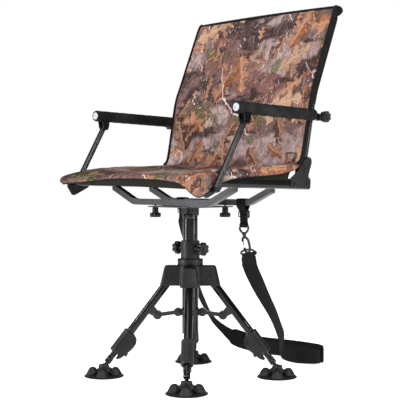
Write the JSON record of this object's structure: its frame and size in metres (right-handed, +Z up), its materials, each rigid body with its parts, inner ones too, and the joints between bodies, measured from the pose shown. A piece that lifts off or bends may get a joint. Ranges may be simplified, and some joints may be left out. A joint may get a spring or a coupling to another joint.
{
  "type": "blind swivel chair",
  "caption": "Folding padded chair with armrests on a height-adjustable swivel post and a folding base with telescoping legs and ball-jointed feet.",
  "frame": {"origin": "on the floor, under the middle of the chair's box without its carry strap", "axes": "+Z up, -Y the way the sitter faces, +X the sitter's left"},
  "size_m": [0.62, 0.638, 0.983],
  "materials": {
    "gloss_black_tube": "gloss black powder coat",
    "satin_grey_tube": "satin dark grey powder coat",
    "black_plastic": "fine-textured black moulded nylon",
    "black_steel": "semi-gloss black plated steel",
    "black_rubber": "matt black rubber",
    "black_foam": "matt closed-cell foam sleeve",
    "camo_fabric": null,
    "black_webbing": "black woven webbing"
  },
  "bodies": {
    "base": {"leg_hub": "black_plastic", "center_column": "gloss_black_tube"},
    "swivel": {"swivel_collar": "black_plastic"},
    "collar_knob_right": {"collar_knob_right": "black_plastic"},
    "collar_knob_left": {"collar_knob_left": "black_plastic"},
    "seat": {"seat_post": "gloss_black_tube", "mount_plate": "satin_grey_tube", "cradle_tube_front": "satin_grey_tube", "cradle_tube_rear": "satin_grey_tube", "seat_rail_left": "gloss_black_tube", "seat_rail_right": "gloss_black_tube", "hinge_bracket_left": "black_steel", "hinge_bracket_right": "black_steel", "strut_bracket_left": "black_steel", "strut_bracket_right": "black_steel", "seat_pad": "camo_fabric", "strap_loop_left": "black_webbing", "strap_loop_right": "black_webbing", "snap_hook": "black_steel", "strap_webbing": "black_webbing", "shoulder_pad": "black_webbing"},
    "plate_knob_front_right": {"plate_knob_front_right": "black_plastic"},
    "plate_knob_rear_right": {"plate_knob_rear_right": "black_plastic"},
    "plate_knob_front_left": {"plate_knob_front_left": "black_plastic"},
    "plate_knob_rear_left": {"plate_knob_rear_left": "black_plastic"},
    "back": {"back_frame": "satin_grey_tube", "back_pad": "camo_fabric"},
    "strut_right": {"strut_right": "gloss_black_tube"},
    "arm_right": {"arm_tube_right": "gloss_black_tube", "arm_grip_right": "black_foam"},
    "arm_knob_right": {"arm_knob_right": "black_plastic"},
    "strut_left": {"strut_left": "gloss_black_tube"},
    "arm_left": {"arm_tube_left": "gloss_black_tube", "arm_grip_left": "black_foam"},
    "arm_knob_left": {"arm_knob_left": "black_plastic"},
    "brace_slider": {"brace_slider": "black_plastic"},
    "leg_1": {"leg_tube_1": "gloss_black_tube", "leg_clamp_1": "black_plastic"},
    "clamp_lever_1": {"clamp_lever_1": "black_plastic"},
    "leg_extension_1": {"leg_extension_1": "gloss_black_tube"},
    "foot_1": {"foot_1": "black_rubber"},
    "brace_arm_1": {"brace_arm_1": "black_steel"},
    "leg_2": {"leg_tube_2": "gloss_black_tube", "leg_clamp_2": "black_plastic"},
    "clamp_lever_2": {"clamp_lever_2": "black_plastic"},
    "leg_extension_2": {"leg_extension_2": "gloss_black_tube"},
    "foot_2": {"foot_2": "black_rubber"},
    "brace_arm_2": {"brace_arm_2": "black_steel"},
    "leg_3": {"leg_tube_3": "gloss_black_tube", "leg_clamp_3": "black_plastic"},
    "clamp_lever_3": {"clamp_lever_3": "black_plastic"},
    "leg_extension_3": {"leg_extension_3": "gloss_black_tube"},
    "foot_3": {"foot_3": "black_rubber"},
    "brace_arm_3": {"brace_arm_3": "black_steel"},
    "leg_4": {"leg_tube_4": "gloss_black_tube", "leg_clamp_4": "black_plastic"},
    "clamp_lever_4": {"clamp_lever_4": "black_plastic"},
    "leg_extension_4": {"leg_extension_4": "gloss_black_tube"},
    "foot_4": {"foot_4": "black_rubber"},
    "brace_arm_4": {"brace_arm_4": "black_steel"}
  },
  "joints": [
    {"name": "seat_swivel", "type": "hinge", "parent": "base", "child": "swivel", "pos_m": [0, -0.048, 0.298], "axis": [0, 0, 1], "continuous": true},
    {"name": "seat_height", "type": "slide", "parent": "swivel", "child": "seat", "axis": [0, 0, 1], "range_m": [-0.055, 0.08]},
    {"name": "collar_knob_right_turn", "type": "hinge", "parent": "swivel", "child": "collar_knob_right", "pos_m": [-0.039, -0.048, 0.343], "axis": [-1, 0, 0], "continuous": true},
    {"name": "collar_knob_left_turn", "type": "hinge", "parent": "swivel", "child": "collar_knob_left", "pos_m": [0.039, -0.048, 0.343], "axis": [1, 0, 0], "continuous": true},
    {"name": "plate_knob_front_right_turn", "type": "hinge", "parent": "seat", "child": "plate_knob_front_right", "pos_m": [-0.064, -0.115, 0.4374], "axis": [0, 0, -1], "continuous": true},
    {"name": "plate_knob_rear_right_turn", "type": "hinge", "parent": "seat", "child": "plate_knob_rear_right", "pos_m": [-0.064, 0.019, 0.4374], "axis": [0, 0, -1], "continuous": true},
    {"name": "plate_knob_front_left_turn", "type": "hinge", "parent": "seat", "child": "plate_knob_front_left", "pos_m": [0.064, -0.115, 0.4374], "axis": [0, 0, -1], "continuous": true},
    {"name": "plate_knob_rear_left_turn", "type": "hinge", "parent": "seat", "child": "plate_knob_rear_left", "pos_m": [0.064, 0.019, 0.4374], "axis": [0, 0, -1], "continuous": true},
    {"name": "back_fold", "type": "hinge", "parent": "seat", "child": "back", "pos_m": [0, 0.117, 0.548], "axis": [1, 0, 0], "range_deg": [0, 78]},
    {"name": "strut_right_swing", "type": "hinge", "parent": "seat", "child": "strut_right", "pos_m": [-0.2745, -0.222, 0.503], "axis": [1, 0, 0], "range_deg": [0, 44.8]},
    {"name": "arm_right_swing", "type": "hinge", "parent": "strut_right", "child": "arm_right", "pos_m": [-0.2745, -0.122, 0.671], "axis": [1, 0, 0], "range_deg": [-67.05, 0]},
    {"name": "arm_knob_right_turn", "type": "hinge", "parent": "arm_right", "child": "arm_knob_right", "pos_m": [-0.292, 0.147, 0.6875], "axis": [-1, 0, 0], "continuous": true},
    {"name": "strut_left_swing", "type": "hinge", "parent": "seat", "child": "strut_left", "pos_m": [0.2745, -0.222, 0.503], "axis": [1, 0, 0], "range_deg": [0, 44.8]},
    {"name": "arm_left_swing", "type": "hinge", "parent": "strut_left", "child": "arm_left", "pos_m": [0.2745, -0.122, 0.671], "axis": [1, 0, 0], "range_deg": [-67.05, 0]},
    {"name": "arm_knob_left_turn", "type": "hinge", "parent": "arm_left", "child": "arm_knob_left", "pos_m": [0.292, 0.147, 0.6875], "axis": [1, 0, 0], "continuous": true},
    {"name": "brace_slider_slide", "type": "slide", "parent": "base", "child": "brace_slider", "axis": [0, 0, 1], "range_m": [0, 0.04199]},
    {"name": "leg_1_fold", "type": "hinge", "parent": "base", "child": "leg_1", "pos_m": [0.03535, -0.08335, 0.266], "axis": [0.7071, 0.7071, 0], "range_deg": [0, 29]},
    {"name": "brace_arm_1_swing", "type": "hinge", "parent": "brace_slider", "child": "brace_arm_1", "pos_m": [0.02298, -0.07098, 0.1735], "axis": [0.7071, 0.7071, 0], "range_deg": [0, 80.81]},
    {"name": "clamp_lever_1_flip", "type": "hinge", "parent": "leg_1", "child": "clamp_lever_1", "pos_m": [0.1062, -0.1542, 0.09233], "axis": [0.7071, 0.7071, 0], "range_deg": [0, 90]},
    {"name": "leg_extension_1_slide", "type": "slide", "parent": "leg_1", "child": "leg_extension_1", "axis": [0.4255, -0.4255, -0.7986], "range_m": [-0.02, 0.09]},
    {"name": "foot_1_tilt", "type": "hinge", "parent": "leg_extension_1", "child": "foot_1", "pos_m": [0.16302, -0.21102, 0.02641], "axis": [0.7071, 0.7071, 0], "range_deg": [-20, 20]},
    {"name": "leg_2_fold", "type": "hinge", "parent": "base", "child": "leg_2", "pos_m": [0.03535, -0.01264, 0.266], "axis": [-0.7071, 0.7071, 0], "range_deg": [0, 29]},
    {"name": "brace_arm_2_swing", "type": "hinge", "parent": "brace_slider", "child": "brace_arm_2", "pos_m": [0.02298, -0.02502, 0.1735], "axis": [-0.7071, 0.7071, 0], "range_deg": [0, 80.81]},
    {"name": "clamp_lever_2_flip", "type": "hinge", "parent": "leg_2", "child": "clamp_lever_2", "pos_m": [0.1062, 0.0582, 0.09233], "axis": [-0.7071, 0.7071, 0], "range_deg": [0, 90]},
    {"name": "leg_extension_2_slide", "type": "slide", "parent": "leg_2", "child": "leg_extension_2", "axis": [0.4255, 0.4255, -0.7986], "range_m": [-0.02, 0.09]},
    {"name": "foot_2_tilt", "type": "hinge", "parent": "leg_extension_2", "child": "foot_2", "pos_m": [0.16302, 0.11502, 0.02641], "axis": [-0.7071, 0.7071, 0], "range_deg": [-20, 20]},
    {"name": "leg_3_fold", "type": "hinge", "parent": "base", "child": "leg_3", "pos_m": [-0.03535, -0.01264, 0.266], "axis": [-0.7071, -0.7071, 0], "range_deg": [0, 29]},
    {"name": "brace_arm_3_swing", "type": "hinge", "parent": "brace_slider", "child": "brace_arm_3", "pos_m": [-0.02298, -0.02502, 0.1735], "axis": [-0.7071, -0.7071, 0], "range_deg": [0, 80.81]},
    {"name": "clamp_lever_3_flip", "type": "hinge", "parent": "leg_3", "child": "clamp_lever_3", "pos_m": [-0.1062, 0.0582, 0.09233], "axis": [-0.7071, -0.7071, 0], "range_deg": [0, 90]},
    {"name": "leg_extension_3_slide", "type": "slide", "parent": "leg_3", "child": "leg_extension_3", "axis": [-0.4255, 0.4255, -0.7986], "range_m": [-0.02, 0.09]},
    {"name": "foot_3_tilt", "type": "hinge", "parent": "leg_extension_3", "child": "foot_3", "pos_m": [-0.16302, 0.11502, 0.02641], "axis": [-0.7071, -0.7071, 0], "range_deg": [-20, 20]},
    {"name": "leg_4_fold", "type": "hinge", "parent": "base", "child": "leg_4", "pos_m": [-0.03535, -0.08335, 0.266], "axis": [0.7071, -0.7071, 0], "range_deg": [0, 29]},
    {"name": "brace_arm_4_swing", "type": "hinge", "parent": "brace_slider", "child": "brace_arm_4", "pos_m": [-0.02298, -0.07098, 0.1735], "axis": [0.7071, -0.7071, 0], "range_deg": [0, 80.81]},
    {"name": "clamp_lever_4_flip", "type": "hinge", "parent": "leg_4", "child": "clamp_lever_4", "pos_m": [-0.1062, -0.1542, 0.09233], "axis": [0.7071, -0.7071, 0], "range_deg": [0, 90]},
    {"name": "leg_extension_4_slide", "type": "slide", "parent": "leg_4", "child": "leg_extension_4", "axis": [-0.4255, -0.4255, -0.7986], "range_m": [-0.02, 0.09]},
    {"name": "foot_4_tilt", "type": "hinge", "parent": "leg_extension_4", "child": "foot_4", "pos_m": [-0.16302, -0.21102, 0.02641], "axis": [0.7071, -0.7071, 0], "range_deg": [-20, 20]}
  ],
  "couplings": [
    {"joint": "strut_right_swing", "follows": "back_fold", "ratio": 0.57056},
    {"joint": "arm_right_swing", "follows": "back_fold", "ratio": -0.85576},
    {"joint": "strut_left_swing", "follows": "back_fold", "ratio": 0.57056},
    {"joint": "arm_left_swing", "follows": "back_fold", "ratio": -0.85576},
    {"joint": "brace_slider_slide", "follows": "leg_1_fold", "m_per_rad": 0.082364},
    {"joint": "brace_arm_1_swing", "follows": "leg_1_fold", "ratio": 2.7762},
    {"joint": "leg_2_fold", "follows": "leg_1_fold", "ratio": 1},
    {"joint": "brace_arm_2_swing", "follows": "leg_1_fold", "ratio": 2.7762},
    {"joint": "leg_3_fold", "follows": "leg_1_fold", "ratio": 1},
    {"joint": "brace_arm_3_swing", "follows": "leg_1_fold", "ratio": 2.7762},
    {"joint": "leg_4_fold", "follows": "leg_1_fold", "ratio": 1},
    {"joint": "brace_arm_4_swing", "follows": "leg_1_fold", "ratio": 2.7762}
  ]
}
